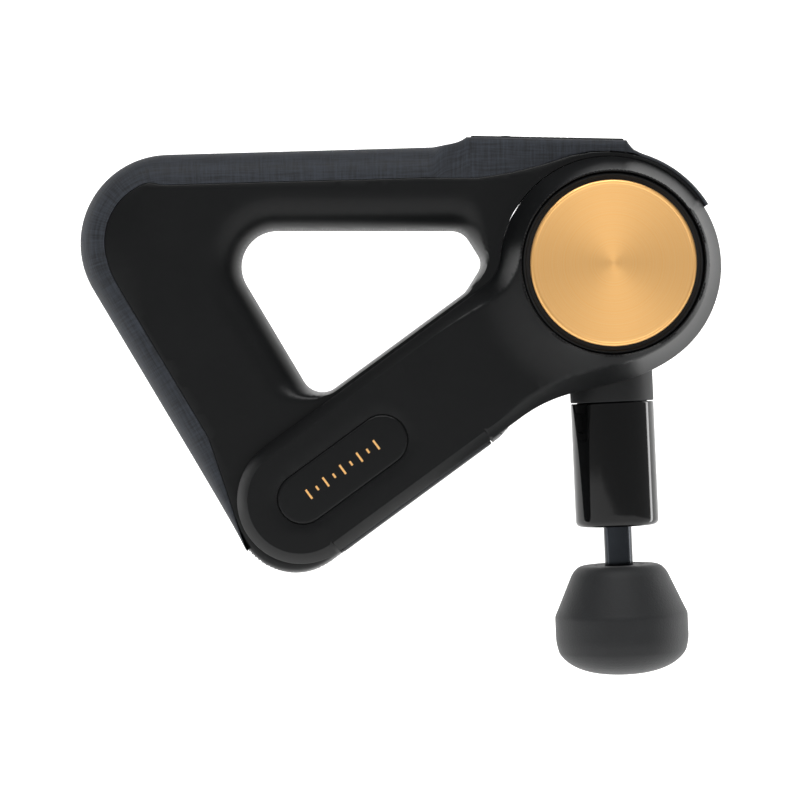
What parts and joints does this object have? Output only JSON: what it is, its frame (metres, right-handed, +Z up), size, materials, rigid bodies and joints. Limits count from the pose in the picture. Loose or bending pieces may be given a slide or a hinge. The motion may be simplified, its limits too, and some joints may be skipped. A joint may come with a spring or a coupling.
{
  "type": "massage gun",
  "caption": "Percussive massage gun: triangular handle with a hand hole, round head with a gold disc, swivelling snout, reciprocating rod and pull-off foam head.",
  "frame": {"origin": "middle of the top grip bar, where a hand holds it", "axes": "+X along the grip bar towards the head, +Z up, the front side (gold disc) towards -Y"},
  "size_m": [0.2481, 0.072, 0.2102],
  "materials": {
    "satin_abs": "satin near-black moulded plastic",
    "silicone_grip": "dark grey silicone with a woven texture",
    "matte_plastic": "matt black moulded plastic",
    "gloss_plastic": "high-gloss black",
    "gold_metal": "gold anodised, finely turned in circles",
    "screen_glass": "dark polished glass",
    "steel": "machined",
    "black_steel": "polished black",
    "aluminium": "machined",
    "copper": "enamelled copper on laminations",
    "bronze": "sintered",
    "circuit_board": "solder mask",
    "rubber": "matt",
    "foam": "closed-cell foam, matt"
  },
  "bodies": {
    "handle": {"front_shell": "satin_abs", "rear_shell": "satin_abs", "grip_sleeve": "silicone_grip", "front_cover": "satin_abs", "rear_cover": "satin_abs", "front_badge_plate": "satin_abs", "rear_badge_plate": "satin_abs", "front_swivel_bush": "bronze", "rear_swivel_bush": "bronze", "disc_carrier": "matte_plastic", "front_disc": "gold_metal", "case_screw_1": "steel", "case_screw_2": "steel", "case_screw_3": "steel", "case_screw_4": "steel", "case_screw_5": "steel", "case_screw_6": "steel", "main_board": "circuit_board", "control_bezel": "matte_plastic", "screen_glass": "screen_glass", "display_module": "matte_plastic", "control_board": "circuit_board"},
    "snout": {"front_drum": "satin_abs", "rear_drum": "satin_abs", "front_snap_ring": "steel", "rear_snap_ring": "steel", "snout_collar": "matte_plastic", "snout_sleeve": "gloss_plastic", "guide_bush": "bronze", "rod_seal": "rubber", "motor_stator": "copper", "motor_mount": "aluminium", "motor_bearing": "steel", "driver_board": "circuit_board"},
    "rotor": {"rotor_bell": "aluminium", "rotor_shaft": "steel", "crank_web": "steel", "crank_pin": "steel"},
    "plunger": {"plunger_shaft": "black_steel", "wrist_pin": "steel"},
    "con_rod": {"connecting_rod": "steel", "rod_bearing": "bronze"},
    "attachment": {"foam_head": "foam", "attachment_socket": "matte_plastic"},
    "arm_lock": {"arm_lock_button": "gold_metal", "lock_spring": "steel"},
    "battery": {"battery_case": "satin_abs", "battery_skin": "silicone_grip", "cell_1": "steel", "cell_2": "steel", "cell_3": "steel", "cell_4": "steel", "terminal_plate": "circuit_board", "charging_inlet": "matte_plastic"},
    "release": {"battery_release": "matte_plastic"},
    "key_select": {"key_select": "matte_plastic"},
    "key_faster": {"key_faster": "matte_plastic"},
    "key_slower": {"key_slower": "matte_plastic"},
    "key_left": {"key_left": "matte_plastic"},
    "key_right": {"key_right": "matte_plastic"}
  },
  "joints": [
    {"name": "arm_swivel", "type": "hinge", "parent": "handle", "child": "snout", "pos_m": [0.104, 0, -0.032], "axis": [0, -1, 0], "range_deg": [0, 90]},
    {"name": "crank_spin", "type": "hinge", "parent": "snout", "child": "rotor", "pos_m": [0.104, 0, -0.032], "axis": [0, 1, 0], "continuous": true},
    {"name": "plunger_slide", "type": "slide", "parent": "snout", "child": "plunger", "axis": [0.0436, 0, -0.999], "range_m": [-0.008, 0.008]},
    {"name": "con_rod_swing", "type": "hinge", "parent": "plunger", "child": "con_rod", "pos_m": [0.10562, 0, -0.06911], "axis": [0, 1, 0], "range_deg": [-24.3, 0]},
    {"name": "attachment_pull", "type": "slide", "parent": "plunger", "child": "attachment", "axis": [0.0436, 0, -0.999], "range_m": [0, 0.03]},
    {"name": "arm_lock_press", "type": "slide", "parent": "handle", "child": "arm_lock", "axis": [0, -1, 0], "range_m": [0, 0.003], "stiffness_N_per_m": 900, "springref_m": -0.002, "deforming": ["lock_spring"]},
    {"name": "battery_slide", "type": "slide", "parent": "handle", "child": "battery", "axis": [0.592, 0, -0.8059], "range_m": [0, 0.045]},
    {"name": "battery_release_press", "type": "slide", "parent": "handle", "child": "release", "axis": [-0.592, 0, 0.8059], "range_m": [0, 0.0015], "stiffness_N_per_m": 600, "springref_m": -0.001},
    {"name": "key_select_press", "type": "slide", "parent": "handle", "child": "key_select", "axis": [0, 0, -1], "range_m": [0, 0.0005], "stiffness_N_per_m": 600, "springref_m": -0.0005},
    {"name": "key_faster_press", "type": "slide", "parent": "handle", "child": "key_faster", "axis": [0, 0, -1], "range_m": [0, 0.0005], "stiffness_N_per_m": 600, "springref_m": -0.0005},
    {"name": "key_slower_press", "type": "slide", "parent": "handle", "child": "key_slower", "axis": [0, 0, -1], "range_m": [0, 0.0005], "stiffness_N_per_m": 600, "springref_m": -0.0005},
    {"name": "key_left_press", "type": "slide", "parent": "handle", "child": "key_left", "axis": [0, 0, -1], "range_m": [0, 0.0005], "stiffness_N_per_m": 600, "springref_m": -0.0005},
    {"name": "key_right_press", "type": "slide", "parent": "handle", "child": "key_right", "axis": [0, 0, -1], "range_m": [0, 0.0005], "stiffness_N_per_m": 600, "springref_m": -0.0005}
  ]
}
